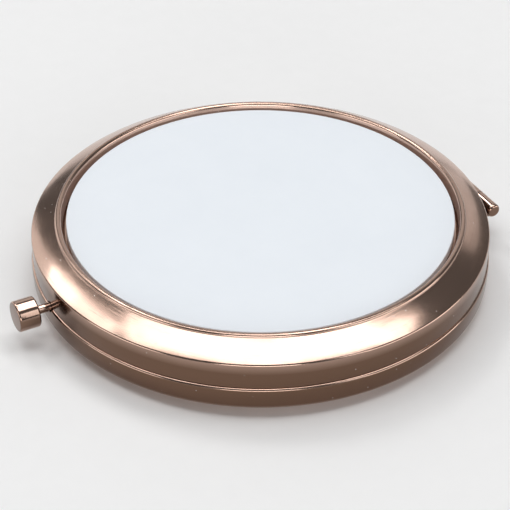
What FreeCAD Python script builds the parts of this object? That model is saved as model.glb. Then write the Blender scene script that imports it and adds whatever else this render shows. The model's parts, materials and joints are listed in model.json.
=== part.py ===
import FreeCAD, Part
import math
import os

os.makedirs("parts", exist_ok=True)
V = FreeCAD.Vector

# Blank insert in the lid; the case is built out from it
INSERT_DIAMETER = 58.0
INSERT_THICKNESS = 1.35
INSERT_EDGE_ROUND = 0.15
INSERT_CLEARANCE = 0.3
INSERT_SUNK = 0.7
ADHESIVE_MARGIN = 1.0
ADHESIVE_THICKNESS = 0.15

# Pressed lid and base
SHELL_SHEET = 0.5
SEAM_GAP = 0.08
RECESS_DRAFT = 0.5
RECESS_BEND = 0.5
BEAD_WIDTH = 0.84
BEZEL_WIDTH = 3.86
BEZEL_RISE = 1.88
BEZEL_CROWN = 0.06
CREASE_ROUND = 0.5
LID_STEP = 0.22
LID_RIM_ROUND = 0.12
BASE_RIM_ROUND = 0.4
WALL_LEAN = 0.15
SHOULDER_ROUND = 1.0
FOOT_INSET = 4.9
FOOT_DROP = 1.7
FOOT_ROUND = 1.2

# Mirrors, and the trays that frame them; a tray's rim closes the gap to the wall
RIM_WIDTH = 5.53
TRAY_SHEET = 0.3
TRAY_BEND = 0.19
TRAY_EDGE_ROUND = 0.3
TRAY_CLEARANCE = 0.1
MIRROR_CLEARANCE = 0.15
MIRROR_CHAMFER = 0.25
LID_MIRROR_THICKNESS = 1.5
LID_MIRROR_SUNK = 0.6
LID_PAD_MARGIN = 3.0
BASE_MIRROR_THICKNESS = 1.5
BASE_MIRROR_SUNK = 1.05
BASE_MIRROR_SAG = 0.65
BASE_PAD_MARGIN = 3.0
PAD_THICKNESS = 0.8

# Rolled hinge at the back
PIN_DIAMETER = 1.3
PIN_FIT = 0.05
PIN_HEAD_LENGTH = 0.6
PIN_HEAD_ROUND = 0.35
LEAF_SHEET = 0.4
LEAF_DEPTH = 4.6
BARREL_LENGTH = 19.0
BARREL_GAP = 0.25
KNUCKLES = 5
KNUCKLE_GAP = 0.12
HINGE_NOTCH_GAP = 0.15
HINGE_RIVET_INSET = 3.5

# Push button and its stem at the front
CAP_DIAMETER = 4.6
CAP_LENGTH = 3.2
CAP_EDGE_ROUND = 0.3
CAP_BORE_DEPTH = 2.2
STEM_DIAMETER = 1.3
STEM_BARE = 2.0
STEM_NECK_DIAMETER = 1.0
STEM_FIT = 0.04
STEM_SHELL_GAP = 0.2
STEM_TAIL_GAP = 0.2
PRESSED_FIT = 0.02
BUTTON_TRAVEL = 1.2

# Latch: plate and ring on the stem, spring behind them
LATCH_PLATE_THICKNESS = 0.6
LATCH_PLATE_WING_HEIGHT = 0.9
LATCH_PLATE_WING_OVERHANG = 0.2
LATCH_PLATE_SIDE_GAP = 0.8
LATCH_PLATE_BOSS_WALL = 0.8
LATCH_PLATE_TOP_ROUND = 0.3
LATCH_PLATE_GAP = 0.05
RING_WALL = 0.3
RING_THICKNESS = 0.35
SPRING_WIRE = 0.22
SPRING_GAP = 0.14
SPRING_TURNS = 3.5
SPRING_END_GAP = 0.02

# Bracket in the base, which guides the stem and backs the spring
BRACKET_SHEET = 0.4
BRACKET_FOOT = 3.2
BRACKET_SPRING_GAP = 0.34
BRACKET_PLATE_GAP = 0.1
EAR_SHEET = 0.5
EAR_WALL = 0.85
EAR_CASE_GAP = 0.7
GUIDE_MARGIN = 0.04
BACK_WALL_GAP = 0.3

# Strip in the lid with the two hooks
CATCH_SHEET = 0.4
CATCH_DEPTH = 3.4
CATCH_GUIDE_GAP = 0.3
HOOK_THICKNESS = 0.5
HOOK_WIDTH = 1.4
HOOK_SIDE_GAP = 0.3
HOOK_GAP = 0.1
HOOK_REACH = 0.55
HOOK_NOSE_HEIGHT = 0.5
HOOK_NOSE_TIP = 0.12

# Rivets
RIVET_DIAMETER = 1.1
RIVET_FIT = 0.02
RIVET_HEAD_DIAMETER = 2.1
RIVET_HEAD_SLOPE = 0.3
RIVET_HEAD_GAP = 0.15
RIVET_TAIL_HEIGHT = 0.25

# Rounds are laid out as bands that turn by at most this many degrees; fine ones are one band
BAND_TURN = 45
FINE_ROUND = 0.2
# Bands of the magnifying mirror's hollow face, and sides of the spring's thin wire
BOWL_BANDS = 3
WIRE_SIDES = 6
# How far a cutting shape runs past what it cuts
OVERRUN = 1.0
# Bearings about the middle, in degrees
FRONT = 270
BACK = 90

# Radii, from the insert out to the case wall; the lid's wall stands a step in from the base's
INSERT_R = INSERT_DIAMETER / 2
RECESS_R = INSERT_R + INSERT_CLEARANCE
MOUTH_R = RECESS_R + RECESS_DRAFT
BEAD_R = MOUTH_R + BEAD_WIDTH
CASE_R = BEAD_R + BEZEL_WIDTH
LID_R = CASE_R - LID_STEP
SHOULDER_R = CASE_R - WALL_LEAN
WALL_IN = CASE_R - SHELL_SHEET
LID_IN = LID_R - SHELL_SHEET
RIM_R = LID_IN - TRAY_CLEARANCE
WELL_R = RIM_R - RIM_WIDTH
WELL_OUT = WELL_R + TRAY_SHEET
MIRROR_R = WELL_R - MIRROR_CLEARANCE

# Heights of the lid's stack, up from the seam
BARREL_R = PIN_DIAMETER / 2 + PIN_FIT + LEAF_SHEET
RIM_BACK = BARREL_R - LEAF_SHEET
RIM_FACE = RIM_BACK - TRAY_SHEET
LID_MIRROR_FACE = RIM_FACE + LID_MIRROR_SUNK
LID_MIRROR_BACK = LID_MIRROR_FACE + LID_MIRROR_THICKNESS
LID_TRAY_FLOOR = LID_MIRROR_BACK + PAD_THICKNESS
LID_TRAY_SEAT = LID_TRAY_FLOOR + TRAY_SHEET
RECESS_FLOOR = LID_TRAY_SEAT + SHELL_SHEET
INSERT_BACK = RECESS_FLOOR + ADHESIVE_THICKNESS
INSERT_FACE = INSERT_BACK + INSERT_THICKNESS
LID_TOP = INSERT_FACE + INSERT_SUNK
BEZEL_TOP = LID_TOP - BEAD_WIDTH / 2
CREASE = BEZEL_TOP - BEZEL_RISE
LID_RIM = SEAM_GAP / 2

# Heights of the base's stack, down from the seam
BASE_MIRROR_FACE = -RIM_FACE - BASE_MIRROR_SUNK - BASE_MIRROR_SAG
BASE_MIRROR_BACK = BASE_MIRROR_FACE - BASE_MIRROR_THICKNESS
BASE_TRAY_FLOOR = BASE_MIRROR_BACK - PAD_THICKNESS
BASE_TRAY_SEAT = BASE_TRAY_FLOOR - TRAY_SHEET
BASE_BOTTOM = BASE_TRAY_SEAT - SHELL_SHEET
SHOULDER = BASE_BOTTOM + FOOT_DROP
BASE_RIM = -SEAM_GAP / 2

# Places along the stem, out from the middle; the hinge lies on the other side
STEM_R = STEM_DIAMETER / 2
NECK_R = STEM_NECK_DIAMETER / 2
CAP_IN = CASE_R + STEM_BARE
EAR_OUT = WALL_IN - EAR_CASE_GAP
EAR_IN = EAR_OUT - EAR_SHEET
PLATE_OUT = EAR_IN - LATCH_PLATE_GAP
PLATE_IN = PLATE_OUT - LATCH_PLATE_THICKNESS
RING_IN = PLATE_IN - RING_THICKNESS
BACK_WALL_IN = WELL_OUT + BACK_WALL_GAP
BACK_WALL_OUT = BACK_WALL_IN + BRACKET_SHEET
STEM_TAIL = BACK_WALL_OUT + BUTTON_TRAVEL + STEM_TAIL_GAP
WINDOW_IN = WELL_OUT + BACK_WALL_GAP / 2
HOOK_IN = PLATE_OUT + HOOK_GAP
HOOK_OUT = HOOK_IN + HOOK_THICKNESS
CATCH_IN = HOOK_OUT - CATCH_DEPTH
HINGE_U = -(CASE_R + BARREL_GAP + BARREL_R)

# Widths and heights of the latch about the stem's line
RING_R = NECK_R + RING_WALL
COIL_R = RING_R + SPRING_GAP + SPRING_WIRE / 2
SPRING_R = COIL_R + SPRING_WIRE / 2
GUIDE_TOP = SPRING_R + GUIDE_MARGIN
TROUGH_FLOOR = -SPRING_R - BRACKET_SPRING_GAP
BRIDGE_UNDER = GUIDE_TOP + CATCH_GUIDE_GAP
EAR_HALF = STEM_R + EAR_WALL
HOOK_X = EAR_HALF + HOOK_SIDE_GAP
WING_X = HOOK_X + HOOK_WIDTH + LATCH_PLATE_WING_OVERHANG
TROUGH_HALF = WING_X + LATCH_PLATE_SIDE_GAP
WINDOW_HALF = TROUGH_HALF + BRACKET_SHEET / 2
WING_HALF = LATCH_PLATE_WING_HEIGHT / 2
NOSE_TOP = -WING_HALF - HOOK_GAP

# Rivets stand in the middle of the strips that they hold
RIVET_R = RIVET_DIAMETER / 2
RIVET_HOLE_R = RIVET_R + RIVET_FIT
LATCH_RIVET_X = TROUGH_HALF + (BRACKET_SHEET + BRACKET_FOOT) / 2
LATCH_RIVET_U = (CATCH_IN + math.sqrt(RIM_R ** 2 - LATCH_RIVET_X ** 2)) / 2
HINGE_RIVET_X = BARREL_LENGTH / 2 - HINGE_RIVET_INSET
HINGE_RIVET_U = -(CASE_R - LEAF_DEPTH + math.sqrt(RIM_R ** 2 - HINGE_RIVET_X ** 2)) / 2
LATCH_RIVETS = [(-LATCH_RIVET_X, LATCH_RIVET_U), (LATCH_RIVET_X, LATCH_RIVET_U)]
HINGE_RIVETS = [(-HINGE_RIVET_X, HINGE_RIVET_U), (HINGE_RIVET_X, HINGE_RIVET_U)]


def at(x, u, z):
    """Point at x along the hinge, u out towards the button and z up from the seam."""
    return V(x, -u, z - BASE_BOTTOM)


def section(r, z):
    return at(r, 0, z)


def rounded(corners):
    """Points of an outline whose corners (a, b, rounding) are rounded in straight bands."""
    points = []
    for i, (a, b, rounding) in enumerate(corners):
        before = corners[i - 1]
        after = corners[(i + 1) % len(corners)]
        back = math.dist((a, b), before[:2])
        ahead = math.dist((a, b), after[:2])
        back_x, back_y = (before[0] - a) / back, (before[1] - b) / back
        ahead_x, ahead_y = (after[0] - a) / ahead, (after[1] - b) / ahead
        turn = math.pi - math.acos(max(-1.0, min(1.0, back_x * ahead_x + back_y * ahead_y)))
        if rounding == 0 or turn < 0.01:
            points.append((a, b))
            continue
        back_room = back * rounding / (rounding + before[2])
        ahead_room = ahead * rounding / (rounding + after[2])
        tangent = min(rounding * math.tan(turn / 2), back_room, ahead_room)
        radius = tangent / math.tan(turn / 2)
        reach = radius / math.cos(turn / 2) / math.hypot(back_x + ahead_x, back_y + ahead_y)
        middle_x, middle_y = a + (back_x + ahead_x) * reach, b + (back_y + ahead_y) * reach
        start_x, start_y = a + back_x * tangent - middle_x, b + back_y * tangent - middle_y
        end_x, end_y = a + ahead_x * tangent - middle_x, b + ahead_y * tangent - middle_y
        bands = 1 if rounding < FINE_ROUND else math.ceil(math.degrees(turn) / BAND_TURN - 0.01)
        for k in range(bands + 1):
            from_start = math.sin(turn * (1 - k / bands)) / math.sin(turn)
            from_end = math.sin(turn * k / bands) / math.sin(turn)
            x = middle_x + start_x * from_start + end_x * from_end
            y = middle_y + start_y * from_start + end_y * from_end
            points.append((x, y))
    return [p for i, p in enumerate(points) if math.dist(p, points[i - 1]) > 1e-6]


def outline(corners, place):
    """Flat face inside rounded corners; place puts each point in space."""
    points = [place(a, b) for a, b in rounded(corners)]
    return Part.Face(Part.makePolygon(points + points[:1]))


def turned(corners):
    """Solid of revolution about the middle of the case."""
    return outline(corners, section).revolve(V(0, 0, 0), V(0, 0, 1), 360)


def disc(r, low, high, edge=0):
    return turned([(0, low, 0), (r, low, 0), (r, high, edge), (0, high, 0)])


def block(x0, x1, u0, u1, z0, z1):
    low, high = min(z0, z1), max(z0, z1)
    return Part.makeBox(x1 - x0, u1 - u0, high - low, at(x0, u1, low))


def plate(corners, u0, u1):
    """Upright plate with its outline in x and z, from u0 out to u1."""
    return outline(corners, lambda x, z: at(x, u1, z)).extrude(V(0, u1 - u0, 0))


def mirrored(right):
    """Corners of a symmetric outline from those of its right half."""
    return right + [(-x, z, rounding) for x, z, rounding in reversed(right)]


def rod(radius, u0, u1):
    """Round bar along the stem's line, from u0 out to u1."""
    return Part.makeCylinder(radius, u1 - u0, at(0, u0, 0), V(0, -1, 0))


def upright(x, u, radius, z0, z1):
    return Part.makeCylinder(radius, abs(z1 - z0), at(x, u, min(z0, z1)))


def inside_radius(r):
    return Part.makeCylinder(r, LID_TOP - BASE_BOTTOM)


def sector(r0, r1, z0, z1, half_width, middle):
    """Part of a ring with radial ends, centred on a bearing; half_width is at the inner radius."""
    turn = math.degrees(math.asin(half_width / r0))
    ring = outline([(r0, z0, 0), (r1, z0, 0), (r1, z1, 0), (r0, z1, 0)], section)
    ring = ring.revolve(V(0, 0, 0), V(0, 0, 1), 2 * turn)
    return ring.rotate(V(0, 0, 0), V(0, 0, 1), middle - turn)


def case_notches(side):
    """Cuts in a shell's wall: half a hole for the stem, and a slot for the hinge."""
    half = BARREL_LENGTH / 2 + HINGE_NOTCH_GAP
    depth = side * (BARREL_R + HINGE_NOTCH_GAP)
    hinge = sector(WALL_IN - OVERRUN, CASE_R + OVERRUN, -side * OVERRUN, depth, half, BACK)
    return hinge.fuse(rod(STEM_R + STEM_SHELL_GAP, WALL_IN - OVERRUN, CASE_R + OVERRUN))


def under_bevel(inwards, slope, z_edge):
    """Height of the sheet's inner face under a bevel, this far inwards from the wall's edge."""
    return z_edge + inwards * math.tan(slope) - SHELL_SHEET / math.cos(slope)


def lid_shell():
    """Pressed lid: wall, bezel, bead and the recess for the insert."""
    slope = math.atan2(BEZEL_RISE, LID_R - BEAD_R)
    crown_r = (LID_R + BEAD_R) / 2 + BEZEL_CROWN * math.sin(slope)
    crown = (CREASE + BEZEL_TOP) / 2 + BEZEL_CROWN * math.cos(slope)
    recess_r = MOUTH_R + SHELL_SHEET
    shell = turned([
        (LID_R, LID_RIM, LID_RIM_ROUND),
        (LID_R, CREASE, CREASE_ROUND),
        (crown_r, crown, 0),
        (BEAD_R, BEZEL_TOP, 0),
        (BEAD_R, LID_TOP, BEAD_WIDTH / 2),
        (MOUTH_R, LID_TOP, BEAD_WIDTH / 2),
        (RECESS_R, RECESS_FLOOR, 0),
        (0, RECESS_FLOOR, 0),
        (0, LID_TRAY_SEAT, 0),
        (RECESS_R + SHELL_SHEET, LID_TRAY_SEAT, RECESS_BEND),
        (recess_r, under_bevel(LID_R - recess_r, slope, CREASE), 0),
        (LID_IN, under_bevel(SHELL_SHEET, slope, CREASE), 0),
        (LID_IN, LID_RIM, 0),
    ])
    return shell.cut(case_notches(1))


def base_shell():
    """Pressed base: wall, rounded shoulder, bevel and the flat resting face."""
    foot_r = CASE_R - FOOT_INSET
    slope = math.atan2(FOOT_DROP, SHOULDER_R - foot_r)
    shoulder_in = -under_bevel(SHELL_SHEET, slope, -SHOULDER)
    foot_in = foot_r - SHELL_SHEET * math.tan(slope / 2)
    shell = turned([
        (CASE_R, BASE_RIM, BASE_RIM_ROUND),
        (CASE_R, SHOULDER / 2, 0),
        (SHOULDER_R, SHOULDER, SHOULDER_ROUND),
        (foot_r, BASE_BOTTOM, FOOT_ROUND),
        (0, BASE_BOTTOM, 0),
        (0, BASE_TRAY_SEAT, 0),
        (foot_in, BASE_TRAY_SEAT, 0),
        (SHOULDER_R - SHELL_SHEET, shoulder_in, 0),
        (WALL_IN, BASE_RIM, 0),
    ])
    return shell.cut(case_notches(-1))


def mirror_tray(side, seat, floor):
    """Tray with a flat rim; side is 1 in the lid, where it opens downwards, and -1 in the base."""
    tray = turned([
        (0, seat, 0),
        (WELL_OUT, seat, TRAY_BEND),
        (WELL_OUT, side * RIM_BACK, 0),
        (RIM_R, side * RIM_BACK, 0),
        (RIM_R, side * RIM_FACE, 0),
        (WELL_R, side * RIM_FACE, TRAY_EDGE_ROUND),
        (WELL_R, floor, 0),
        (0, floor, 0),
    ])
    deep = side * (RIM_BACK + TRAY_SHEET)
    tray = tray.cut(sector(WINDOW_IN, CASE_R, 0, deep, WINDOW_HALF, FRONT))
    for x, u in LATCH_RIVETS + HINGE_RIVETS:
        tray = tray.cut(upright(x, u, RIVET_HOLE_R, 0, deep))
    return tray


def flat_mirror():
    edge = MIRROR_R - MIRROR_CHAMFER
    return turned([
        (0, LID_MIRROR_FACE, 0),
        (edge, LID_MIRROR_FACE, 0),
        (MIRROR_R, LID_MIRROR_FACE + MIRROR_CHAMFER, 0),
        (MIRROR_R, LID_MIRROR_BACK, 0),
        (0, LID_MIRROR_BACK, 0),
    ])


def bowl(r):
    """Rise of the magnifying mirror's hollow face at a distance from its middle."""
    radius = (MIRROR_R ** 2 + BASE_MIRROR_SAG ** 2) / (2 * BASE_MIRROR_SAG)
    return radius - math.sqrt(radius ** 2 - r ** 2)


def magnifying_mirror():
    """Flat-backed mirror with a hollow face, made of conical bands."""
    edge = MIRROR_R - MIRROR_CHAMFER
    face = []
    for i in range(BOWL_BANDS + 1):
        r = edge * i / BOWL_BANDS
        face.append((r, BASE_MIRROR_FACE + bowl(r), 0))
    side = (MIRROR_R, face[-1][1] - MIRROR_CHAMFER, 0)
    return turned([(0, BASE_MIRROR_BACK, 0), (MIRROR_R, BASE_MIRROR_BACK, 0), side] + face[::-1])


def rivets(side, places, grip):
    """Pair of low-headed rivets through a tray's rim; the head shows, the tail is hidden."""
    tail = RIM_BACK + grip
    head_r = RIVET_HEAD_DIAMETER / 2
    top_r = head_r - RIVET_HEAD_SLOPE
    profile = [
        (0, RIVET_HEAD_GAP),
        (top_r, RIVET_HEAD_GAP),
        (head_r, RIM_FACE),
        (RIVET_R, RIM_FACE),
        (RIVET_R, tail),
        (head_r, tail),
        (top_r, tail + RIVET_TAIL_HEIGHT),
        (0, tail + RIVET_TAIL_HEIGHT),
    ]
    pair = []
    for x, u in places:
        face = outline([(r, side * z, 0) for r, z in profile], lambda r, z: at(x + r, u, z))
        pair.append(face.revolve(at(x, u, 0), V(0, 0, 1), 360))
    return Part.makeCompound(pair)


def knuckle_spans(first):
    pitch = BARREL_LENGTH / KNUCKLES
    spans = []
    for i in range(first, KNUCKLES, 2):
        low = -BARREL_LENGTH / 2 + i * pitch + KNUCKLE_GAP / 2
        spans.append((low, low + pitch - KNUCKLE_GAP))
    return spans


def hinge_leaf(side, first):
    """Strip rolled into knuckles round the pin, with its flat part against the tray's rim."""
    low, high = side * RIM_BACK, side * BARREL_R
    half = BARREL_LENGTH / 2
    root_u = LEAF_DEPTH / 2 - CASE_R
    leaf = block(-half, half, -CASE_R, LEAF_DEPTH - CASE_R, low, high).common(inside_radius(CASE_R))
    roll_end = HINGE_U + math.sqrt(BARREL_R ** 2 - RIM_BACK ** 2)
    for x0, x1 in knuckle_spans(first):
        top = at(x0, HINGE_U, high)
        far = at(x0, HINGE_U - BARREL_R, 0)
        bottom = at(x0, HINGE_U, -high)
        near = at(x0, HINGE_U + BARREL_R, 0)
        end = at(x0, roll_end, low)
        edges = [
            Part.makeLine(at(x0, root_u, low), at(x0, root_u, high)),
            Part.makeLine(at(x0, root_u, high), top),
            Part.Arc(top, far, bottom).toShape(),
            Part.Arc(bottom, near, end).toShape(),
            Part.makeLine(end, at(x0, root_u, low)),
        ]
        leaf = leaf.fuse(Part.Face(Part.Wire(edges)).extrude(V(x1 - x0, 0, 0)))
    bore_r = PIN_DIAMETER / 2 + PIN_FIT
    bore_length = BARREL_LENGTH + 2 * OVERRUN
    leaf = leaf.cut(Part.makeCylinder(bore_r, bore_length, at(-half - OVERRUN, HINGE_U, 0), V(1, 0, 0)))
    for x, u in HINGE_RIVETS:
        leaf = leaf.cut(upright(x, u, RIVET_HOLE_R, 0, side * (BARREL_R + OVERRUN)))
    return leaf.removeSplitter()


def hinge_pin():
    """Pin with a head at each end, turned about the hinge's line."""
    neck = BARREL_LENGTH / 2
    end = neck + PIN_HEAD_LENGTH
    pin_r = PIN_DIAMETER / 2
    right = [(neck, pin_r, 0), (neck, BARREL_R, 0), (end, BARREL_R, PIN_HEAD_ROUND), (end, 0, 0)]
    face = outline(mirrored(right), lambda x, r: at(x, HINGE_U, r))
    return face.revolve(at(0, HINGE_U, 0), V(1, 0, 0), 360)


def along_stem(corners):
    """Solid turned about the stem's line; corners are (u, radius, rounding)."""
    face = outline(corners, lambda u, r: at(0, u, r))
    return face.revolve(at(0, 0, 0), V(0, 1, 0), 360)


def button_cap():
    r = CAP_DIAMETER / 2
    bore = STEM_R + PRESSED_FIT
    return along_stem([
        (CAP_IN, bore, 0),
        (CAP_IN, r, CAP_EDGE_ROUND),
        (CAP_IN + CAP_LENGTH, r, CAP_EDGE_ROUND),
        (CAP_IN + CAP_LENGTH, 0, 0),
        (CAP_IN + CAP_BORE_DEPTH, 0, 0),
        (CAP_IN + CAP_BORE_DEPTH, bore, 0),
    ])


def button_stem():
    """Stem from the cap's bore to the latch plate, with a thinner neck behind its shoulder."""
    outer = CAP_IN + CAP_BORE_DEPTH - PRESSED_FIT
    return along_stem([
        (outer, 0, 0),
        (outer, STEM_R, 0),
        (PLATE_OUT, STEM_R, 0),
        (PLATE_OUT, NECK_R, 0),
        (STEM_TAIL, NECK_R, 0),
        (STEM_TAIL, 0, 0),
    ])


def latch_plate():
    """Cross-shaped plate on the stem; its wings hold the lid's hooks down."""
    boss = NECK_R + LATCH_PLATE_BOSS_WALL
    right = [
        (boss, TROUGH_FLOOR + BRACKET_PLATE_GAP, 0),
        (boss, -WING_HALF, 0),
        (WING_X, -WING_HALF, 0),
        (WING_X, WING_HALF, 0),
        (boss, WING_HALF, 0),
        (boss, GUIDE_TOP, LATCH_PLATE_TOP_ROUND),
    ]
    hole = rod(NECK_R + PRESSED_FIT, PLATE_IN - OVERRUN, PLATE_OUT + OVERRUN)
    return plate(mirrored(right), PLATE_IN, PLATE_OUT).cut(hole)


def stem_ring():
    bore = NECK_R + PRESSED_FIT
    return along_stem([(PLATE_IN, bore, 0), (PLATE_IN, RING_R, 0), (RING_IN, RING_R, 0), (RING_IN, bore, 0)])


def arc_middle(start, heading, end):
    """Middle of the circular arc that leaves the start along a heading and ends at the end."""
    chord = end - start
    inward = heading.cross(chord).cross(heading).normalize()
    radius = chord.dot(chord) / (2 * chord.dot(inward))
    half = math.atan2(chord.dot(inward), chord.dot(heading))
    return start + inward * (radius - radius * math.cos(half)) + heading * (radius * math.sin(half))


def biarc(start, leave, end, arrive):
    """Two circular arcs, tangent to each other and to both end headings."""
    chord = end - start
    along = chord.dot(leave + arrive)
    turn = 2 * (1 - leave.dot(arrive))
    reach = (math.sqrt(along ** 2 + turn * chord.dot(chord)) - along) / turn
    joint = (start + end + (leave - arrive) * reach) * 0.5
    first = Part.Arc(start, arc_middle(start, leave, joint), joint).toShape()
    second = Part.Arc(joint, arc_middle(end, arrive * -1, joint), end).toShape()
    return [first, second]


def return_spring():
    """Coil round the stem's tail, between the bracket's back wall and the latch plate."""
    low = BACK_WALL_OUT + SPRING_END_GAP + SPRING_WIRE / 2
    high = PLATE_IN - SPRING_END_GAP - SPRING_WIRE / 2
    slope = (high - low) / SPRING_TURNS / (2 * math.pi * COIL_R)

    def on_coil(turns):
        turn = turns * 2 * math.pi
        u = low + (high - low) * turns / SPRING_TURNS
        return at(COIL_R * math.sin(turn), u, -COIL_R * math.cos(turn))

    def heading(turns):
        turn = turns * 2 * math.pi
        return V(math.cos(turn), -slope, math.sin(turn)).normalize()

    steps = int(SPRING_TURNS * 2)
    arcs = []
    for i in range(steps):
        start, end = SPRING_TURNS * i / steps, SPRING_TURNS * (i + 1) / steps
        arcs += biarc(on_coil(start), heading(start), on_coil(end), heading(end))
    inward = V(0, 0, 1)
    across = heading(0).cross(inward)
    ring = []
    for i in range(WIRE_SIDES + 1):
        turn = 2 * math.pi * (i + 0.5) / WIRE_SIDES
        ring.append(on_coil(0) + (inward * math.cos(turn) + across * math.sin(turn)) * (SPRING_WIRE / 2))
    samples = [on_coil(SPRING_TURNS * i / 400) for i in range(401)]
    apart = int(400 / SPRING_TURNS / 2)
    least = min(samples[i].distanceToPoint(samples[j]) for i in range(401) for j in range(i + apart, 401))
    print("spring: least gap between turns", round(least - SPRING_WIRE, 3), "mm")
    return Part.Wire(arcs).makePipeShell([Part.makePolygon(ring)], True, False)


def hat(half, sheet, rim, crown):
    """Right half of a hat-shaped strip in x and z: its foot at the rim, its middle at the crown."""
    out = math.copysign(sheet, crown - rim)
    foot = half + BRACKET_FOOT
    return [
        (half, crown, 0),
        (half, rim, 0),
        (foot, rim, 0),
        (foot, rim + out, 0),
        (half + sheet, rim + out, 0),
        (half + sheet, crown + out, 0),
    ]


def latch_bracket():
    """Hat-shaped strip under the tray's rim, with an ear for the stem and a wall for the spring."""
    right = hat(TROUGH_HALF, BRACKET_SHEET, -RIM_BACK, TROUGH_FLOOR)
    strip = plate(mirrored(right), BACK_WALL_IN, EAR_OUT)
    root = TROUGH_FLOOR - BRACKET_SHEET / 2
    ear = plate(mirrored([(EAR_HALF, root, 0), (EAR_HALF, GUIDE_TOP, EAR_HALF)]), EAR_IN, EAR_OUT)
    wall = plate(mirrored([(EAR_HALF, root, 0), (EAR_HALF, GUIDE_TOP, 0)]), BACK_WALL_IN, BACK_WALL_OUT)
    strip = strip.fuse(ear).fuse(wall).common(inside_radius(RIM_R))
    strip = strip.cut(rod(STEM_R + STEM_FIT, EAR_IN - OVERRUN, EAR_OUT + OVERRUN))
    for x, u in LATCH_RIVETS:
        strip = strip.cut(upright(x, u, RIVET_HOLE_R, 0, -RIM_BACK - BRACKET_SHEET - OVERRUN))
    return strip.removeSplitter()


def lid_catch():
    """Hat-shaped strip on the lid tray's rim with two hooks that straddle the stem."""
    half = WINDOW_HALF - CATCH_SHEET / 2
    strip = plate(mirrored(hat(half, CATCH_SHEET, RIM_BACK, BRIDGE_UNDER)), CATCH_IN, HOOK_OUT)
    low = NOSE_TOP - HOOK_NOSE_HEIGHT
    tip = HOOK_IN - HOOK_REACH
    root = BRIDGE_UNDER + CATCH_SHEET / 2
    hook = [
        (HOOK_OUT, root, 0),
        (HOOK_OUT, low, 0),
        (HOOK_IN, low, 0),
        (tip, NOSE_TOP - HOOK_NOSE_TIP, 0),
        (tip, NOSE_TOP, 0),
        (HOOK_IN, NOSE_TOP, 0),
        (HOOK_IN, root, 0),
    ]
    for x in (HOOK_X, -HOOK_X - HOOK_WIDTH):
        strip = strip.fuse(outline(hook, lambda u, z: at(x, u, z)).extrude(V(HOOK_WIDTH, 0, 0)))
    strip = strip.common(inside_radius(RIM_R))
    for x, u in LATCH_RIVETS:
        strip = strip.cut(upright(x, u, RIVET_HOLE_R, 0, RIM_BACK + CATCH_SHEET + OVERRUN))
    return strip.removeSplitter()


PIECES = {
    "lid_shell": lid_shell(),
    "insert_disc": disc(INSERT_R, INSERT_BACK, INSERT_FACE, INSERT_EDGE_ROUND),
    "insert_adhesive": disc(INSERT_R - ADHESIVE_MARGIN, RECESS_FLOOR, INSERT_BACK),
    "lid_mirror_frame": mirror_tray(1, LID_TRAY_SEAT, LID_TRAY_FLOOR),
    "lid_mirror": flat_mirror(),
    "lid_mirror_adhesive": disc(MIRROR_R - LID_PAD_MARGIN, LID_MIRROR_BACK, LID_TRAY_FLOOR),
    "lid_catch": lid_catch(),
    "lid_catch_rivets": rivets(1, LATCH_RIVETS, CATCH_SHEET),
    "lid_hinge_leaf": hinge_leaf(1, 1),
    "lid_hinge_rivets": rivets(1, HINGE_RIVETS, LEAF_SHEET),
    "base_shell": base_shell(),
    "base_mirror_frame": mirror_tray(-1, BASE_TRAY_SEAT, BASE_TRAY_FLOOR),
    "base_mirror": magnifying_mirror(),
    "base_mirror_adhesive": disc(MIRROR_R - BASE_PAD_MARGIN, BASE_TRAY_FLOOR, BASE_MIRROR_BACK),
    "base_hinge_leaf": hinge_leaf(-1, 0),
    "base_hinge_rivets": rivets(-1, HINGE_RIVETS, LEAF_SHEET),
    "hinge_pin": hinge_pin(),
    "latch_bracket": latch_bracket(),
    "latch_bracket_rivets": rivets(-1, LATCH_RIVETS, BRACKET_SHEET),
    "return_spring": return_spring(),
    "button_cap": button_cap(),
    "button_stem": button_stem(),
    "latch_plate": latch_plate(),
    "stem_ring": stem_ring(),
}

for name, shape in PIECES.items():
    solids = shape.Solids
    good = all(solid.isValid() and solid.Volume > 0 for solid in solids)
    count = str(len(solids)) + (" solid" if len(solids) == 1 else " solids")
    print(name, count, round(shape.Volume, 3), "ok" if good else "BAD")
    shape.exportStep("parts/" + name + ".step")
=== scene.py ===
import json
import math
import bmesh
import bpy
from mathutils import Matrix, Vector


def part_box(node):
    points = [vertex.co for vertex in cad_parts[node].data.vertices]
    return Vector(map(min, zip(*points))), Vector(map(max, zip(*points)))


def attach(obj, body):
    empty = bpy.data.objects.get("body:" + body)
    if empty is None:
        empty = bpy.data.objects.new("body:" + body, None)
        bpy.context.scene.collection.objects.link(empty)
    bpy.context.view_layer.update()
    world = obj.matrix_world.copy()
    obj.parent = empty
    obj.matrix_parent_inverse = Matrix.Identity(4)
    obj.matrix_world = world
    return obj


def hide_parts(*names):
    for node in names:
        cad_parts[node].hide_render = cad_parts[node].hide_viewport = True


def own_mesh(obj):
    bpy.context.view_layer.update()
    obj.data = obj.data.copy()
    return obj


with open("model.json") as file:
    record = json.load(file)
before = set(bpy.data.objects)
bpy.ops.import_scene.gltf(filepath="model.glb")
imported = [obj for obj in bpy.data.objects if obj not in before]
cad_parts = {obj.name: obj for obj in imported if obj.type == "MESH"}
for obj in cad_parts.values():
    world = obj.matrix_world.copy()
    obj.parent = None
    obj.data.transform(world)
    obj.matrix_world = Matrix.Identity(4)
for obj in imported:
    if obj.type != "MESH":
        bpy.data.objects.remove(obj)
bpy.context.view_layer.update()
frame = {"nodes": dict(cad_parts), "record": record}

MM = 0.001
X, Y, Z = 0, 1, 2

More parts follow.
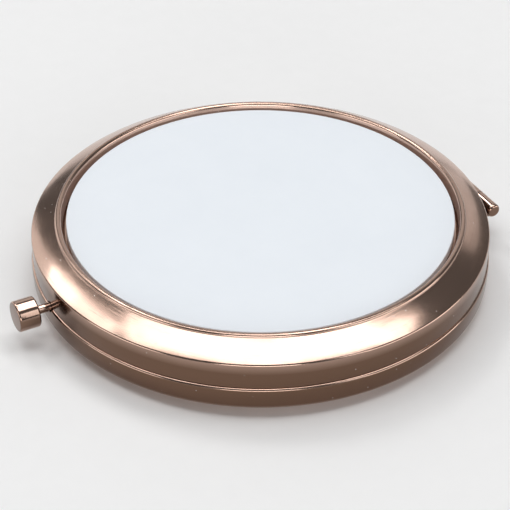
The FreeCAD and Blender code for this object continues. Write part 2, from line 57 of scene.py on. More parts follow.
# Fineness of the meshes: degrees in a step of a round, and steps round an axis or along a curve
ROUND_STEP = 7
CASE_TURNS = 288
BUTTON_TURNS = 160
HOLE_TURNS = 96
PIN_TURNS = 64
RIVET_TURNS = 32
MIRROR_STEPS = 24
DOME_STEPS = 12
SPRING_STEPS = 40
WIRE_SIDES = 12

# The angle in degrees from which an edge stays sharp, and the least length in millimetres that counts
SHARP_ANGLE = 32
FINEST = 1e-5

scene = bpy.context.scene
scene.view_settings.view_transform = "Standard"


# Sizes that the frame gives, in millimetres up from the resting face or out from the middle

def low(node, axis):
    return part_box(node)[0][axis] / MM


def high(node, axis):
    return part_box(node)[1][axis] / MM


CASE_R = high("base_shell", X)
LID_R = high("lid_shell", X)
LID_TOP = high("lid_shell", Z)
LID_RIM = low("lid_shell", Z)
BASE_RIM = high("base_shell", Z)
SEAM = (LID_RIM + BASE_RIM) / 2
INSERT_R = high("insert_disc", X)
INSERT_BACK = low("insert_disc", Z)
INSERT_FACE = high("insert_disc", Z)
RECESS_FLOOR = low("insert_adhesive", Z)
LID_SEAT = high("lid_mirror_frame", Z)
BASE_SEAT = low("base_mirror_frame", Z)
MIRROR_R = high("base_mirror", X)
MIRROR_BACK = low("base_mirror", Z)
MIRROR_TOP = high("base_mirror", Z)
CAP_R = high("button_cap", X)
CAP_IN = -high("button_cap", Y)
CAP_OUT = -low("button_cap", Y)
STEM_R = high("button_stem", X)
PIN_END = high("hinge_pin", X)
BARREL_R = (high("hinge_pin", Z) - low("hinge_pin", Z)) / 2
BARREL_END = high("base_hinge_leaf", X)
HINGE_Y = (high("hinge_pin", Y) + low("hinge_pin", Y)) / 2

# Sizes of the pressed lid and base, in millimetres
SHEET = 0.5
SHEET_BEND = 0.5
EDGE_ROUND = 0.05
INSERT_CLEARANCE = 0.3
RECESS_DRAFT = 0.5
BEAD_WIDTH = 0.84
BEAD_FOOT_ROUND = 0.12
BEZEL_RISE = 1.88
BEZEL_CROWN = 0.12
CROWN_ROUND = 40.0
CREASE_ROUND = 0.5
WALL_LEAN = 0.15
WALL_ROUND = 15.0
LID_RIM_ROUND = 0.12
BASE_RIM_ROUND = 0.4
FOOT_INSET = 4.9
FOOT_DROP = 1.7
FOOT_ROUND = 1.2
SHOULDER_ROUND = 1.0

# Room round the stem and the hinge's barrel in the case wall, in millimetres
STEM_GAP = 0.2
HINGE_GAP = 0.15

# How far the blocks that cut these openings reach past the wall, in millimetres
HOLE_OVERRUN = 2.0
SLOT_INNER_OVERRUN = 1.0
SLOT_OUTER_OVERRUN = 1.5

# Sizes of the other pieces, in millimetres, and the number of the spring's turns
INSERT_ROUND = 0.15
CAP_ROUND = 0.28
CAP_BORE_DEPTH = 2.2
CAP_FIT = 0.02
PIN_R = 0.65
PIN_ROUND = 0.45
MIRROR_CHAMFER = 0.25
MIRROR_SAG = 0.65
RIVET_R = 0.55
RIVET_HEAD = 0.25
SPRING_WIRE = 0.22
SPRING_TURNS = 3.5

RECESS_R = INSERT_R + INSERT_CLEARANCE
MOUTH_R = RECESS_R + RECESS_DRAFT
BEAD_R = MOUTH_R + BEAD_WIDTH
BEZEL_TOP = LID_TOP - BEAD_WIDTH / 2
CREASE = BEZEL_TOP - BEZEL_RISE
LID_IN = LID_R - SHEET
SHOULDER_R = CASE_R - WALL_LEAN
WALL_IN = CASE_R - SHEET


# Geometry helpers. A corner is (distance from the axis, place along it, rounding), in millimetres.

def rounded(corners):
    """Points of an outline with every rounded corner drawn as a fine arc."""
    count = len(corners)
    places = [Vector(corner[:2]) for corner in corners]
    arms, reaches = [], []
    for i, place in enumerate(places):
        before = places[i - 1] - place
        after = places[(i + 1) % count] - place
        turn = math.pi - before.angle(after)
        arms.append((before, after, turn))
        reaches.append(corners[i][2] * math.tan(turn / 2))
    points = []
    for i, (before, after, turn) in enumerate(arms):
        wanted = reaches[i]
        if wanted < FINEST:
            points.append(tuple(places[i]))
            continue
        room_before = before.length * wanted / (wanted + reaches[i - 1])
        room_after = after.length * wanted / (wanted + reaches[(i + 1) % count])
        reach = min(wanted, room_before, room_after)
        radius = reach / math.tan(turn / 2)
        bisector = (before.normalized() + after.normalized()).normalized()
        middle = places[i] + bisector * (radius / math.cos(turn / 2))
        start = places[i] + before.normalized() * reach - middle
        end = places[i] + after.normalized() * reach - middle
        steps = max(2, round(math.degrees(turn) / ROUND_STEP))
        for k in range(steps + 1):
            share = k / steps
            arm = start * math.sin(turn * (1 - share)) + end * math.sin(turn * share)
            points.append(tuple(middle + arm / math.sin(turn)))
    return [point for i, point in enumerate(points) if math.dist(point, points[i - 1]) > FINEST]


def rise(r, edge_r, edge_rise):
    """Rise of a ball-shaped face at r from its middle, where it rises by edge_rise at edge_r."""
    radius = (edge_r ** 2 + edge_rise ** 2) / (2 * edge_rise)
    return radius - math.sqrt(radius ** 2 - r ** 2)


def finished(builder, name):
    """Mesh of what the builder holds."""
    mesh = bpy.data.meshes.new(name)
    builder.to_mesh(mesh)
    builder.free()
    return mesh


def turned(name, corners, place, turns=CASE_TURNS):
    """Closed mesh of a profile turned about an axis; place(r, along, angle) gives a point."""
    builder = bmesh.new()
    rings = []
    for r, along in rounded(corners):
        count = turns if r > FINEST else 1
        ring = []
        for i in range(count):
            ring.append(builder.verts.new(Vector(place(r, along, 2 * math.pi * i / turns)) * MM))
        rings.append(ring)
    for ring, following in zip(rings, rings[1:] + rings[:1]):
        if len(ring) == 1 and len(following) == 1:
            continue
        for i in range(turns):
            k = (i + 1) % turns
            inner = [ring[i % len(ring)], ring[k % len(ring)]]
            outer = [following[k % len(following)], following[i % len(following)]]
            builder.faces.new(list(dict.fromkeys(inner + outer)))
    bmesh.ops.recalc_face_normals(builder, faces=builder.faces)
    return finished(builder, name)


def about_case(r, z, angle):
    return r * math.cos(angle), r * math.sin(angle), z


def about_stem(r, out, angle):
    return r * math.cos(angle), -out, SEAM + r * math.sin(angle)


def about_pin(r, x, angle):
    return x, HINGE_Y + r * math.cos(angle), SEAM + r * math.sin(angle)


def about_rivet(x, y, end, up):
    """Placing for a rivet at (x, y) whose dome ends at the height end and faces up where up is 1."""
    def place(r, inward, angle):
        return x + r * math.cos(angle), y + r * math.sin(angle), end - up * inward
    return place


def joined(name, meshes):
    """One mesh of several."""
    builder = bmesh.new()
    for mesh in meshes:
        builder.from_mesh(mesh)
        bpy.data.meshes.remove(mesh)
    return finished(builder, name)


def cut(mesh, *cutters):
    """Mesh with the cutting meshes taken out of it."""
    block = bpy.data.objects.new("block", mesh)
    scene.collection.objects.link(block)
    tools = []
    for cutter in cutters:
        tool = bpy.data.objects.new("tool", cutter)
        scene.collection.objects.link(tool)
        tools.append(tool)
        step = block.modifiers.new("cut", "BOOLEAN")
        step.operation = "DIFFERENCE"
        step.solver = "EXACT"
        step.object = tool
    done = bpy.data.meshes.new_from_object(block.evaluated_get(bpy.context.evaluated_depsgraph_get()))
    for spare in [block] + tools:
        bpy.data.objects.remove(spare)
    done.name = mesh.name
    return done


def stem_hole():
    """Round bar that cuts the stem's hole in the case wall."""
    inner, outer = WALL_IN - HOLE_OVERRUN, CASE_R + HOLE_OVERRUN
    r = STEM_R + STEM_GAP
    corners = [(0, inner, 0), (r, inner, 0), (r, outer, 0), (0, outer, 0)]
    return turned("stem_hole", corners, about_stem, HOLE_TURNS)


def hinge_slot():
    """Block with radial ends that clears the hinge's barrel in the case wall."""
    inner, outer = WALL_IN - SLOT_INNER_OVERRUN, CASE_R + SLOT_OUTER_OVERRUN
    half = math.asin((BARREL_END + HINGE_GAP) / inner)
    reach = BARREL_R + HINGE_GAP
    builder = bmesh.new()
    corners = []
    for z in (SEAM - reach, SEAM + reach):
        for r, turn in ((inner, -half), (outer, -half), (outer, half), (inner, half)):
            corners.append(builder.verts.new(Vector((r * math.sin(turn), r * math.cos(turn), z)) * MM))
    bmesh.ops.convex_hull(builder, input=corners)
    return finished(builder, "hinge_slot")


def coiled(name, coil_r, start, end):
    """Closed mesh of the spring's wire, wound about the stem's axis from start to end along Y."""
    builder = bmesh.new()
    climb = (end - start) / (2 * math.pi * SPRING_TURNS)
    steps = round(SPRING_TURNS * SPRING_STEPS)
    rings = []
    for i in range(steps + 1):
        turn = 2 * math.pi * SPRING_TURNS * i / steps
        out = Vector((math.sin(turn), 0.0, -math.cos(turn)))
        heading = Vector((coil_r * math.cos(turn), climb, coil_r * math.sin(turn))).normalized()
        across = heading.cross(out)
        middle = out * coil_r + Vector((0.0, start + climb * turn, SEAM))
        ring = []
        for k in range(WIRE_SIDES):
            side = 2 * math.pi * k / WIRE_SIDES
            point = middle + (out * math.cos(side) + across * math.sin(side)) * SPRING_WIRE / 2
            ring.append(builder.verts.new(point * MM))
        rings.append(ring)
    for ring, following in zip(rings, rings[1:]):
        for k in range(WIRE_SIDES):
            n = (k + 1) % WIRE_SIDES
            builder.faces.new((ring[k], ring[n], following[n], following[k]))
    builder.faces.new(rings[0])
    builder.faces.new(rings[-1])
    bmesh.ops.recalc_face_normals(builder, faces=builder.faces)
    return finished(builder, name)


def piece(name, mesh, body, slot, *nodes):
    """Smooth-shaded piece that rides on a body, wears a slot's paint and stands for CAD nodes."""
    mesh.shade_smooth()
    mesh.set_sharp_from_angle(angle=math.radians(SHARP_ANGLE))
    mesh.materials.clear()
    mesh.materials.append(PAINTS[slot])
    obj = bpy.data.objects.new(name, mesh)
    scene.collection.objects.link(obj)
    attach(obj, body)
    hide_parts(*nodes)
    return obj


# Materials. Colours are red, green and blue shares of the light that is given back.

ROSE = (0.60, 0.42, 0.34)
ROSE_DEEP = (0.57, 0.39, 0.31)
# Painted shade of the case's upright outer faces, as if they mirrored dark surroundings
ROSE_PAINTED_WALL_SHADE = (0.165, 0.097, 0.066)
# Painted shade of the fittings' upright outer faces, as if they mirrored dark surroundings
ROSE_PAINTED_FITTING_SHADE = (0.20, 0.122, 0.088)
DUST = (0.86, 0.82, 0.78)
INSERT_WHITE = (0.822, 0.862, 0.908)
INSERT_COOL = (0.800, 0.842, 0.890)
GLASS = (0.90, 0.92, 0.92)
GLASS_SMEAR = (0.87, 0.89, 0.90)
LATCH_STEEL = (0.56, 0.56, 0.57)
SPRING_STEEL = (0.50, 0.50, 0.52)
FOAM = (0.82, 0.80, 0.74)
FOAM_CELL = (0.74, 0.72, 0.66)
FLOOR = (0.89, 0.89, 0.89)
FLOOR_GRAIN = (0.86, 0.86, 0.86)
OPAQUE = 1.0

# Painted shade: upright outer faces darkened as if they mirrored dark surroundings, less just under the
# crease
# Where that painted shade starts, its fade under the crease and its share there
PAINTED_SHADE_FROM = LID_IN - EDGE_ROUND
PAINTED_SHADE_FADE = 1.6
CREASE_SHARE = 0.5

# The lean of a face, 0 upright and 1 level, where that shade begins to go and where it is gone
UPRIGHT, SLOPING = 0.2, 0.7

# Specks of dust: the shade of the pattern's cells that hold one, its even middle, its cover and roughness
SPECK_CELL = 0.62
SPECK_MIDDLE = 0.4
DUST_COVER = 0.5
DUST_ROUGH = 0.3

# The range that a noise pattern mostly fills
NOISE_LOW, NOISE_HIGH = 0.3, 0.7

# Shares of a metal's roughness where it is smoothest and roughest, and of steel's colour in a stain
SMOOTHEST = 0.75
ROUGHEST = 1.35
STEEL_ROUGHEST = 1.3
STAIN_SHADE = 0.82


class Paint:
    """Node material with short calls for the few node kinds used here."""

    def __init__(self, name):
        self.material = bpy.data.materials.new(name)
        self.material.use_nodes = True
        self.tree = self.material.node_tree
        self.shader = self.tree.nodes["Principled BSDF"]
        coordinates = self.add("ShaderNodeTexCoord")
        self.place = coordinates.outputs["Object"]
        self.facing = coordinates.outputs["Normal"]

    def add(self, kind, **settings):
        node = self.tree.nodes.new(kind)
        for key, value in settings.items():
            setattr(node, key, value)
        return node

    def link(self, source, target):
        self.tree.links.new(source, target)

    def feed(self, target, value):
        """Give a socket another socket's output, a colour or a number."""
        if isinstance(value, bpy.types.NodeSocket):
            self.link(value, target)
        elif target.type == "RGBA":
            target.default_value = value + (OPAQUE,)
        else:
            target.default_value = value

    def compute(self, operation, first, second=0.0):
        node = self.add("ShaderNodeMath", operation=operation)
        self.feed(node.inputs[0], first)
        self.feed(node.inputs[1], second)
        return node.outputs[0]

    def stretched(self, sizes):
        node = self.add("ShaderNodeMapping", vector_type="POINT")
        self.link(self.place, node.inputs["Vector"])
        node.inputs["Scale"].default_value = sizes
        return node.outputs["Vector"]

    def split(self, vector):
        node = self.add("ShaderNodeSeparateXYZ")
        self.link(vector, node.inputs[0])
        return node.outputs

    def out(self):
        """Distance from the upright axis of the case."""
        parts = self.split(self.place)
        squares = [self.compute("MULTIPLY", parts[axis], parts[axis]) for axis in (X, Y)]
        return self.compute("SQRT", self.compute("ADD", *squares))

    def painted_shade_mask(self):
        """Painted shade: 1 on upright faces at and outside the case's wall, less under the crease, else
        0.
        """
        lean = self.compute("ABSOLUTE", self.split(self.facing)[Z])
        at_rim = self.compute("GREATER_THAN", self.out(), PAINTED_SHADE_FROM * MM)
        up = self.split(self.place)[Z]
        below = self.spread(up, CREASE * MM, (CREASE - PAINTED_SHADE_FADE) * MM, CREASE_SHARE, 1.0)
        upright = self.compute("MULTIPLY", self.spread(lean, UPRIGHT, SLOPING, 1.0, 0.0), below)
        return self.compute("MULTIPLY", upright, at_rim)

    def ring_place(self, pull):
        """Coordinates that run out, round and up, so that a texture draws out along circles."""
        x, y, z = self.split(self.place)
        around = self.compute("MULTIPLY", self.compute("ARCTAN2", y, x), pull)
        whole = self.add("ShaderNodeCombineXYZ")
        for source, target in zip((self.out(), around, z), whole.inputs):
            self.link(source, target)
        return whole.outputs[0]

    def noise(self, scale, place=None, detail=4.0, roughness=0.6):
        node = self.add("ShaderNodeTexNoise")
        self.link(place or self.place, node.inputs["Vector"])
        node.inputs["Scale"].default_value = scale
        node.inputs["Detail"].default_value = detail
        node.inputs["Roughness"].default_value = roughness
        return node.outputs["Fac"]

    def specks(self, scale, size):
        """Sparse small dots: 1 inside a dot, 0 elsewhere."""
        node = self.add("ShaderNodeTexVoronoi", feature="F1")
        self.link(self.place, node.inputs["Vector"])
        node.inputs["Scale"].default_value = scale
        some = self.compute("GREATER_THAN", node.outputs["Color"], SPECK_CELL)
        dots = self.spread(node.outputs["Distance"], size, size * SPECK_MIDDLE)
        return self.compute("MULTIPLY", dots, some)

    def spread(self, value, start, end, to_start=0.0, to_end=1.0):
        """Value moved so that start becomes to_start and end becomes to_end, and held between them."""
        node = self.add("ShaderNodeMapRange")
        self.link(value, node.inputs["Value"])
        node.inputs["From Min"].default_value = start
        node.inputs["From Max"].default_value = end
        node.inputs["To Min"].default_value = to_start
        node.inputs["To Max"].default_value = to_end
        return node.outputs["Result"]

    def blend(self, share, first, second):
        """Colour that goes from first to second as share goes from 0 to 1."""
        node = self.add("ShaderNodeMix", data_type="RGBA")
        self.feed(node.inputs["Factor"], share)
        colours = [socket for socket in node.inputs if socket.type == "RGBA"]
        self.feed(colours[0], first)
        self.feed(colours[1], second)
        return next(socket for socket in node.outputs if socket.type == "RGBA")

    def relief(self, height, strength, distance, under=None):
        node = self.add("ShaderNodeBump")
        node.inputs["Strength"].default_value = strength
        node.inputs["Distance"].default_value = distance
        self.link(height, node.inputs["Height"])
        if under:
            self.link(under, node.inputs["Normal"])
        return node.outputs["Normal"]

    def set(self, **values):
        sockets = {
            "colour": "Base Color",
            "metal": "Metallic",
            "rough": "Roughness",
            "normal": "Normal",
            "specular": "Specular IOR Level",
        }
        for key, value in values.items():
            self.feed(self.shader.inputs[sockets[key]], value)
        return self.material


def polished(name, rough, scratch, wall=None):
    """Plated metal with hairline wear and a little dust; wall is a painted shade on upright outer faces.
    """
    paint = Paint(name)
    lines = paint.noise(2600.0, paint.ring_place(pull=0.0012), detail=3.0, roughness=0.7)
    hair = paint.spread(lines, start=0.60, end=0.74)
    cloud = paint.noise(160.0, detail=5.0)
    dust = paint.specks(900.0, size=0.10)
    tone = paint.blend(paint.spread(cloud, NOISE_LOW, NOISE_HIGH), ROSE, ROSE_DEEP)
    # Painted shade: upright outer faces take the darker wall colour, as if they mirrored dark
    # surroundings
    if wall:
        tone = paint.blend(paint.painted_shade_mask(), tone, wall)
    base = paint.spread(cloud, 0.25, 0.75, to_start=rough * SMOOTHEST, to_end=rough * ROUGHEST)
    worn = paint.compute("ADD", base, paint.compute("MULTIPLY", hair, scratch))
    wave = paint.noise(420.0, detail=1.0, roughness=0.5)
    bent = paint.relief(wave, strength=0.012, distance=0.0004)
    return paint.set(
        colour=paint.blend(paint.compute("MULTIPLY", dust, DUST_COVER), tone, DUST),
        rough=paint.compute("ADD", worn, paint.compute("MULTIPLY", dust, DUST_ROUGH)),
        metal=1.0,
        normal=paint.relief(hair, strength=0.05, distance=0.00004, under=bent),
    )


def insert_paint():
    """White coated face with a very fine tooth."""
    paint = Paint("white_insert")
    cloud = paint.noise(90.0, detail=6.0, roughness=0.65)
    fine = paint.noise(5200.0, detail=2.0, roughness=0.5)
    return paint.set(
        colour=paint.blend(paint.spread(cloud, NOISE_LOW, NOISE_HIGH), INSERT_COOL, INSERT_WHITE),
        rough=paint.spread(fine, NOISE_LOW, NOISE_HIGH, to_start=0.52, to_end=0.64),
        metal=0.0,
        specular=0.2,
        normal=paint.relief(fine, strength=0.05, distance=0.00003),
    )


def mirror_paint():
    """Silvered glass with faint smears and a little dust."""
    paint = Paint("mirror_glass")
    smear = paint.noise(70.0, paint.stretched((1.0, 2.6, 1.0)), detail=5.0, roughness=0.65)
    dust = paint.specks(700.0, size=0.09)
    film = paint.spread(smear, start=0.48, end=0.75)
    base = paint.spread(film, start=0.0, end=1.0, to_start=0.012, to_end=0.05)
    return paint.set(
        colour=paint.blend(film, GLASS, GLASS_SMEAR),
        rough=paint.compute("ADD", base, paint.compute("MULTIPLY", dust, DUST_ROUGH)),
        metal=1.0,
    )


def steel_paint(name, colour, rough):
    """Drawn steel with a grain along X and faint stains."""
    paint = Paint(name)
    grain = paint.noise(1500.0, paint.stretched((0.06, 1.0, 1.0)), detail=3.0)
    stain = paint.spread(paint.noise(700.0), start=0.35, end=0.7)
    stained = tuple(share * STAIN_SHADE for share in colour)
    return paint.set(
        colour=paint.blend(stain, colour, stained),
        rough=paint.spread(grain, NOISE_LOW, NOISE_HIGH, rough * SMOOTHEST, rough * STEEL_ROUGHEST),
        metal=1.0,
        normal=paint.relief(grain, strength=0.15, distance=0.00003),
    )


def foam_paint():
    """Pale foam tape with open cells."""
    paint = Paint("adhesive")
    cells = paint.noise(2400.0, roughness=0.7)
    return paint.set(
        colour=paint.blend(cells, FOAM_CELL, FOAM),
        rough=paint.spread(cells, NOISE_LOW, NOISE_HIGH, to_start=0.75, to_end=0.95),
        metal=0.0,
        normal=paint.relief(cells, strength=0.4, distance=0.0001),
    )


PAINTS = {
    # The case wears a painted shade on its upright outer faces
    "rose_gold_case": polished("rose_gold_case", rough=0.15, scratch=0.10, wall=ROSE_PAINTED_WALL_SHADE),
    "rose_gold_tray": polished("rose_gold_tray", rough=0.12, scratch=0.10),
    # The fittings wear a painted shade on their upright outer faces
    "rose_gold_fittings": polished("rose_gold_fittings", rough=0.10, scratch=0.08, wall=ROSE_PAINTED_FITTING_SHADE),
    "white_insert": insert_paint(),
    "mirror_glass": mirror_paint(),
    "latch_steel": steel_paint("latch_steel", LATCH_STEEL, rough=0.32),
    "spring_steel": steel_paint("spring_steel", SPRING_STEEL, rough=0.22),
    "adhesive": foam_paint(),
}
for part in frame["record"]["subparts"]:
    for slot in frame["nodes"][part["node"]].material_slots:
        slot.material = PAINTS[part["material_slot"]]


# Pieces with their true rounds

def lid():
    """Pressed lid: wall, crowned bezel, half-round bead and the recess for the insert."""
    slope = math.atan2(BEZEL_RISE, LID_R - BEAD_R)
    crown_r = (LID_R + BEAD_R) / 2 + BEZEL_CROWN * math.sin(slope)
    crown = (CREASE + BEZEL_TOP) / 2 + BEZEL_CROWN * math.cos(slope)

    def under(r):
        return CREASE + (LID_R - r) * math.tan(slope) - SHEET / math.cos(slope)

    mesh = turned("lid", [
        (LID_R, LID_RIM, LID_RIM_ROUND),
        (LID_R, CREASE, CREASE_ROUND),
        (crown_r, crown, CROWN_ROUND),
        (BEAD_R, BEZEL_TOP, BEAD_FOOT_ROUND),
        (BEAD_R, LID_TOP, BEAD_WIDTH / 2),
        (MOUTH_R, LID_TOP, BEAD_WIDTH / 2),
        (RECESS_R, RECESS_FLOOR, EDGE_ROUND),
        (0, RECESS_FLOOR, 0),
        (0, LID_SEAT, 0),
        (RECESS_R + SHEET, LID_SEAT, SHEET_BEND),
        (MOUTH_R + SHEET, under(MOUTH_R + SHEET), EDGE_ROUND),
        (LID_IN, under(LID_IN), EDGE_ROUND),
        (LID_IN, LID_RIM, EDGE_ROUND),
    ], about_case)
    piece("lid", cut(mesh, stem_hole(), hinge_slot()), "lid", "rose_gold_case", "lid_shell")


def base():
    """Pressed base: wall, rounded shoulder, bevel and the flat resting face."""
    foot_r = CASE_R - FOOT_INSET
    slope = math.atan2(FOOT_DROP, SHOULDER_R - foot_r)
    inside = FOOT_DROP - SHEET * math.tan(slope) + SHEET / math.cos(slope)
    mesh = turned("base", [
        (CASE_R, BASE_RIM, BASE_RIM_ROUND),
        (CASE_R, (SEAM + FOOT_DROP) / 2, WALL_ROUND),
        (SHOULDER_R, FOOT_DROP, SHOULDER_ROUND),
        (foot_r, 0, FOOT_ROUND),
        (0, 0, 0),
        (0, BASE_SEAT, 0),
        (foot_r - SHEET * math.tan(slope / 2), BASE_SEAT, FOOT_ROUND - SHEET),
        (SHOULDER_R - SHEET, inside, SHOULDER_ROUND - SHEET),
        (WALL_IN, BASE_RIM, EDGE_ROUND),
    ], about_case)
    piece("base", cut(mesh, stem_hole(), hinge_slot()), "base", "rose_gold_case", "base_shell")


def insert():
    """Flat round insert with a softened upper edge."""
    mesh = turned("insert", [
        (0, INSERT_BACK, 0),
        (INSERT_R, INSERT_BACK, EDGE_ROUND),
        (INSERT_R, INSERT_FACE, INSERT_ROUND),
        (0, INSERT_FACE, 0),
    ], about_case)
    piece("insert", mesh, "lid", "white_insert", "insert_disc")


def push_button():
    """Button head with rounded edges and a blind bore for the stem."""
    bore_r = STEM_R + CAP_FIT
    bore_end = CAP_IN + CAP_BORE_DEPTH
    mesh = turned("push_button", [
        (bore_r, CAP_IN, EDGE_ROUND),
        (CAP_R, CAP_IN, CAP_ROUND),
        (CAP_R, CAP_OUT, CAP_ROUND),
        (0, CAP_OUT, 0),
        (0, bore_end, 0),
        (bore_r, bore_end, 0),
    ], about_stem, BUTTON_TURNS)
    piece("push_button", mesh, "button", "rose_gold_fittings", "button_cap")


def pin():
    """Hinge pin with a rounded head at each end."""
    head = [(BARREL_R, BARREL_END, 0), (BARREL_R, PIN_END, PIN_ROUND), (0, PIN_END, 0)]
    half = [(PIN_R, BARREL_END, 0)] + head
    corners = [(r, -x, rounding) for r, x, rounding in reversed(half)] + half
    piece("pin", turned("pin", corners, about_pin, PIN_TURNS), "base", "rose_gold_fittings", "hinge_pin")


def magnifier():
    """Magnifying mirror with a smooth hollow face and a flat back."""
    edge = MIRROR_R - MIRROR_CHAMFER
    middle = MIRROR_TOP - rise(edge, MIRROR_R, MIRROR_SAG)
    corners = [
        (0, MIRROR_BACK, 0),
        (MIRROR_R, MIRROR_BACK, 0),
        (MIRROR_R, MIRROR_TOP - MIRROR_CHAMFER, 0),
    ]
    for i in range(MIRROR_STEPS, -1, -1):
        r = edge * i / MIRROR_STEPS
        corners.append((r, middle + rise(r, MIRROR_R, MIRROR_SAG), 0))
    piece("magnifier", turned("magnifier", corners, about_case), "base", "mirror_glass", "base_mirror")


def rivet_pair(node, body, up):
    """Two domed rivets; up is 1 where their domes face upwards and -1 where they face down."""
    head_r = (high(node, Y) - low(node, Y)) / 2
    middle = (high(node, Y) + low(node, Y)) / 2
    length = high(node, Z) - low(node, Z)
    end = high(node, Z) if up == 1 else low(node, Z)
    corners = []
    for i in range(DOME_STEPS + 1):
        r = head_r * i / DOME_STEPS
        corners.append((r, rise(r, head_r, RIVET_HEAD), 0))
    corners += [
        (RIVET_R, RIVET_HEAD, 0),
        (RIVET_R, length - RIVET_HEAD, 0),
        (head_r, length - RIVET_HEAD, 0),
        (head_r, length, RIVET_HEAD),
        (0, length, 0),
    ]
    pair = []
    for x in (low(node, X) + head_r, high(node, X) - head_r):
        pair.append(turned(node, corners, about_rivet(x, middle, end, up), RIVET_TURNS))
    piece(node + "_domed", joined(node + "_domed", pair), body, "rose_gold_fittings", node)


def coil_spring():
    """Return spring, coiled about the stem's axis between the ends that the frame gives it."""
    node = "return_spring"
    wall_end, plate_end = high(node, Y), low(node, Y)
    half_wire = SPRING_WIRE / 2
    coil_r = high(node, X) - half_wire
    mesh = coiled("coil_spring", coil_r, wall_end - half_wire, plate_end + half_wire)
    obj = piece("coil_spring", mesh, "base", "spring_steel", node)
    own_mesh(obj)


lid()
base()
insert()
push_button()
pin()
magnifier()
rivet_pair("lid_catch_rivets", "lid", -1)
rivet_pair("lid_hinge_rivets", "lid", -1)
rivet_pair("base_hinge_rivets", "base", 1)
rivet_pair("latch_bracket_rivets", "base", 1)
coil_spring()


# Stage: pale floor, soft lamps, and the camera at the photograph's angle

# The camera's direction, distance in metres and small turns, and its lens and sensor in millimetres
AZIMUTH = math.radians(61.8)
ELEVATION = math.radians(35.712)
DISTANCE = 0.2578
PAN, TILT, ROLL = (math.radians(angle) for angle in (0.178, 0.466, 0.16))
LENS = 120.0
SENSOR = 36.0

# The nearest length that the camera sees and the floor's radius, in metres
NEAREST = 0.01
FLOOR_R = 4.0
FLOOR_SIDES = 96

# The room's brightness, and the heights and distances of the lamps, in metres
ROOM_LEVEL = 0.12
TOP_UP = 0.6
BACK_UP = 1.2
BACK_AWAY = 1.73
FRONT_AWAY = 1.60
SIDE_AWAY = 0.80

RIGHT = Vector((math.cos(AZIMUTH), math.sin(AZIMUTH), 0.0))
AHEAD = Vector((-math.sin(AZIMUTH), math.cos(AZIMUTH), 0.0))
UP = Vector((0.0, 0.0, 1.0))


def on_stage(right, ahead, up):
    """Point given from the camera's side: metres to the right, away from the camera and up."""
    return RIGHT * right + AHEAD * ahead + UP * up


def floor():
    """Round pale floor with a faint grain."""
    builder = bmesh.new()
    bmesh.ops.create_circle(builder, cap_ends=True, segments=FLOOR_SIDES, radius=FLOOR_R)
    mesh = finished(builder, "floor")
    obj = bpy.data.objects.new("floor", mesh)
    scene.collection.objects.link(obj)
    paint = Paint("floor_paint")
    grain = paint.noise(300.0, detail=5.0)
    mesh.materials.append(paint.set(
        colour=paint.blend(grain, FLOOR_GRAIN, FLOOR),
        rough=paint.spread(grain, NOISE_LOW, NOISE_HIGH, to_start=0.8, to_end=0.95),
        specular=0.1,
    ))


def surroundings():
    """Dim, even room."""
    world = bpy.data.worlds.new("world")
    scene.world = world
    world.use_nodes = True
    grey = (ROOM_LEVEL, ROOM_LEVEL, ROOM_LEVEL, OPAQUE)
    world.node_tree.nodes["Background"].inputs["Color"].default_value = grey


def toward(bearing, elevation, distance):
    """Point at a distance from the case, by its bearing right of straight ahead and its elevation."""
    turn, climb = math.radians(bearing), math.radians(elevation)
    level = distance * math.cos(climb)
    return on_stage(level * math.sin(turn), level * math.cos(turn), distance * math.sin(climb))


def panel(name, place, width, height, glow, roll=0.0):
    """Soft rectangular lamp that faces the object; glow is its brightness, where 1 is white."""
    lamp = bpy.data.lights.new(name, "AREA")
    lamp.shape = "RECTANGLE"
    lamp.size = width
    lamp.size_y = height
    lamp.energy = glow * math.pi * width * height
    obj = bpy.data.objects.new(name, lamp)
    obj.location = place
    facing = (-place).to_track_quat("-Z", "Y").to_matrix() @ Matrix.Rotation(math.radians(roll), 3, "Z")
    obj.rotation_euler = facing.to_euler()
    scene.collection.objects.link(obj)
    obj.visible_camera = False
    return obj


def strip(name, start, end, depth, up, glow):
    """Level lamp over the case along the line from start to end, both given for a height of 1."""
    along = Vector(end) - Vector(start)
    middle = (Vector(start) + Vector(end)) * up / 2
    lamp = panel(name, on_stage(*middle, up), along.length * up, depth * up, glow)
    lamp.rotation_euler = (0.0, 0.0, AZIMUTH + math.atan2(along.y, along.x))


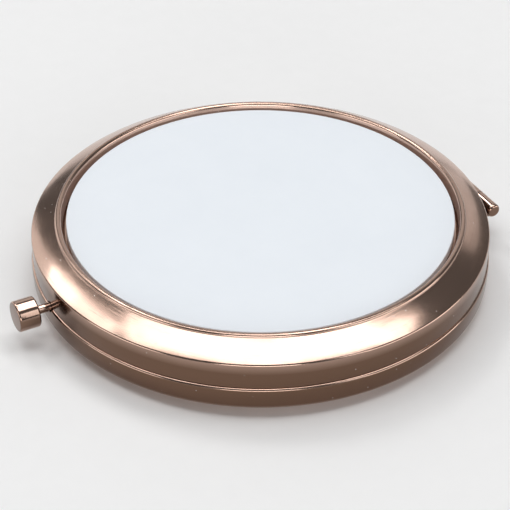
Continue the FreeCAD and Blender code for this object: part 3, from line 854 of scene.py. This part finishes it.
def lamps():
    """Soft lamps above and round the case."""
    # The main light, which the near side of the bezel mirrors
    strip("far_right_top", (0.80, 0.15), (0.49, 0.00), depth=0.26, up=TOP_UP, glow=3.4)
    strip("right_top", (0.51, 0.03), (-0.05, -0.205), depth=0.32, up=TOP_UP, glow=3.2)
    strip("left_top", (0.05, -0.205), (-0.65, 0.09), depth=0.32, up=TOP_UP, glow=3.2)
    strip("far_left_top", (-0.76, 0.05), (-1.40, 1.03), depth=0.26, up=TOP_UP, glow=2.6)
    # Light from behind on the insert and the floor, which the bead and the button's head mirror
    strip("left_back_light", (-0.47, 0.69), (-0.26, 0.69), depth=0.50, up=BACK_UP, glow=8.4)
    strip("right_back_light", (-0.05, 0.74), (0.26, 0.06), depth=0.22, up=BACK_UP, glow=4.0)
    panel("back_glow", toward(0, 24, BACK_AWAY), width=1.20, height=0.90, glow=0.5)
    # Low lamps for the thin highlights along the bead, the crease and the rims
    panel("front_light", toward(180, 8, FRONT_AWAY), width=1.00, height=0.44, glow=4.6)
    panel("left_front_light", toward(243, 9, FRONT_AWAY), width=1.10, height=0.47, glow=2.8)
    panel("right_front_light", toward(106, 9, FRONT_AWAY), width=1.58, height=0.47, glow=2.8)
    # Small lamps for the near side of the button's head and the left and right ends of the bezel
    panel("button_light", toward(135.5, 28, SIDE_AWAY), width=0.18, height=0.50, glow=1.5)
    panel("left_light", toward(-55, 20, SIDE_AWAY), width=0.28, height=0.68, glow=0.95, roll=-33.0)
    panel("right_light", toward(31.5, 15.5, SIDE_AWAY), width=0.125, height=0.48, glow=0.6, roll=38.0)


def camera():
    """Camera at the photograph's angle, turned a little to place the case as the photograph does."""
    back = UP * math.sin(ELEVATION) - AHEAD * math.cos(ELEVATION)
    up = UP * math.cos(ELEVATION) + AHEAD * math.sin(ELEVATION)
    right = RIGHT * math.cos(PAN) - back * math.sin(PAN)
    ahead = -back * math.cos(PAN) - RIGHT * math.sin(PAN)
    tilted = ahead * math.cos(TILT) - up * math.sin(TILT)
    up = up * math.cos(TILT) + ahead * math.sin(TILT)
    rolled = right * math.cos(ROLL) + up * math.sin(ROLL)
    up = up * math.cos(ROLL) - right * math.sin(ROLL)
    lens = bpy.data.cameras.new("camera")
    lens.sensor_width = SENSOR
    lens.lens = LENS
    lens.clip_start = NEAREST
    obj = bpy.data.objects.new("camera", lens)
    scene.collection.objects.link(obj)
    axes = Matrix((rolled, up, -tilted)).transposed().to_4x4()
    obj.matrix_world = Matrix.Translation(UP * SEAM * MM + back * DISTANCE) @ axes
    scene.camera = obj


floor()
surroundings()
lamps()
camera()
